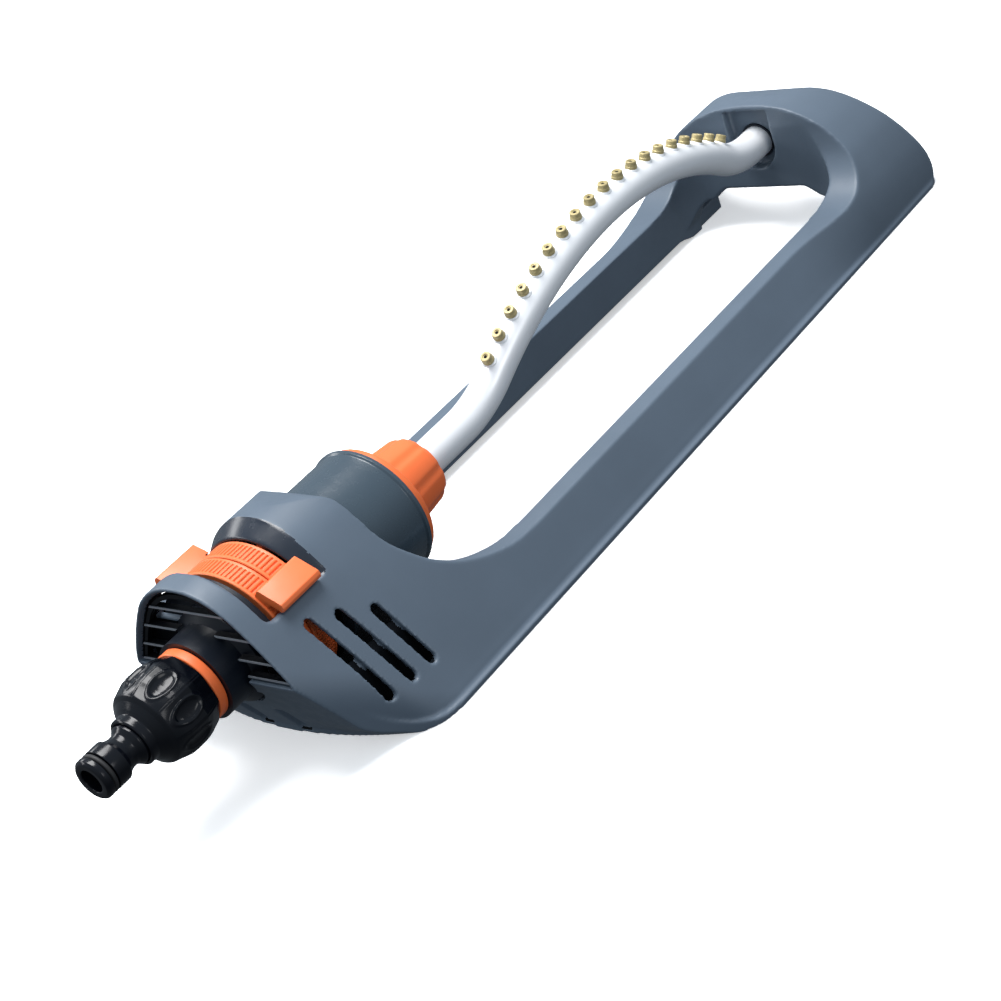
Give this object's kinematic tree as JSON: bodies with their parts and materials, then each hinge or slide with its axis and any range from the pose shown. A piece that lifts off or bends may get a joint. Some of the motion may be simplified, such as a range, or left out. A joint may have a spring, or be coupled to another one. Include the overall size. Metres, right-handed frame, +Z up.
{
  "type": "oscillating lawn sprinkler",
  "caption": "Low plastic frame with a hood and a far arch, a water motor drum, range rings with finger tabs and a bent spray tube with nozzles that rocks from side to side.",
  "frame": {"origin": "centre of the outline's rectangle in plan, on the flat surface the sprinkler stands on", "axes": "+X along the tube's turning axis, away from the hose connector; +Z up; +Y to the left seen from the hose end"},
  "size_m": [0.512, 0.133, 0.0909],
  "materials": {
    "slate_plastic": "fine-grained moulded",
    "dark_plastic": "semi-gloss moulded",
    "black_plastic": "glossy moulded",
    "orange_plastic": "satin moulded",
    "white_plastic": "plain moulded",
    "tube_aluminium": "satin anodised",
    "nozzle_brass": "turned",
    "steel": "bright",
    "seal_rubber": "soft"
  },
  "bodies": {
    "base": {"frame": "slate_plastic", "end_grille": "slate_plastic", "rear_housing": "dark_plastic", "inlet_ring": "orange_plastic", "ring_gear": "white_plastic", "inlet_filter": "white_plastic", "housing_screws": "steel", "far_bush": "white_plastic", "hose_tail": "black_plastic", "tail_o_ring": "seal_rubber", "tail_washer": "seal_rubber"},
    "nut": {"union_nut": "black_plastic"},
    "front_ring": {"front_range_ring": "orange_plastic"},
    "rear_ring": {"rear_range_ring": "orange_plastic"},
    "rocker": {"drum_shell": "dark_plastic", "drum_back_plate": "dark_plastic", "drum_seal": "seal_rubber", "back_plate_screws": "steel", "rim_gasket": "seal_rubber", "output_flange": "orange_plastic", "tube_collar": "orange_plastic", "collar_o_ring": "seal_rubber", "spray_tube": "tube_aluminium", "spray_nozzles": "nozzle_brass", "jet_plate": "white_plastic", "gear_pins": "steel", "bearing_spider": "white_plastic"},
    "plug": {"end_plug": "orange_plastic", "plug_o_ring": "seal_rubber"},
    "planet": {"planet_gear": "white_plastic"},
    "middle": {"middle_gear": "white_plastic"},
    "turbine": {"turbine_wheel": "orange_plastic", "turbine_pinion": "white_plastic", "turbine_shaft": "steel"},
    "trip": {"trip_lever": "orange_plastic", "trip_shaft": "steel", "reversing_flap": "white_plastic"}
  },
  "joints": [
    {"name": "tube_rock", "type": "hinge", "parent": "base", "child": "rocker", "pos_m": [-0.116, 0, 0.0444], "axis": [1, 0, 0], "range_deg": [-57.4, 32.6]},
    {"name": "nut_turn", "type": "hinge", "parent": "base", "child": "nut", "pos_m": [-0.218, 0, 0.0444], "axis": [1, 0, 0], "continuous": true},
    {"name": "front_ring_turn", "type": "hinge", "parent": "base", "child": "front_ring", "pos_m": [-0.173, 0, 0.0444], "axis": [1, 0, 0], "range_deg": [-38, 0]},
    {"name": "rear_ring_turn", "type": "hinge", "parent": "base", "child": "rear_ring", "pos_m": [-0.163, 0, 0.0444], "axis": [1, 0, 0], "range_deg": [0, 38]},
    {"name": "plug_turn", "type": "hinge", "parent": "rocker", "child": "plug", "pos_m": [0.234, 0, 0.0444], "axis": [1, 0, 0], "continuous": true},
    {"name": "trip_tilt", "type": "hinge", "parent": "rocker", "child": "trip", "pos_m": [-0.144, -0.005, 0.06716], "axis": [1, 0, 0], "range_deg": [-24, 0]},
    {"name": "planet_turn", "type": "hinge", "parent": "rocker", "child": "planet", "pos_m": [-0.136, 0.00309, 0.03034], "axis": [1, 0, 0], "range_deg": [-131, 231]},
    {"name": "middle_turn", "type": "hinge", "parent": "rocker", "child": "middle", "pos_m": [-0.133, 0.01092, 0.03943], "axis": [1, 0, 0], "range_deg": [-690, 393]},
    {"name": "turbine_turn", "type": "hinge", "parent": "rocker", "child": "turbine", "pos_m": [-0.12, 0, 0.0444], "axis": [1, 0, 0], "range_deg": [-1178, 2070]}
  ],
  "couplings": [
    {"joint": "planet_turn", "follows": "tube_rock", "ratio": -4},
    {"joint": "middle_turn", "follows": "tube_rock", "ratio": 12},
    {"joint": "turbine_turn", "follows": "tube_rock", "ratio": -36}
  ]
}
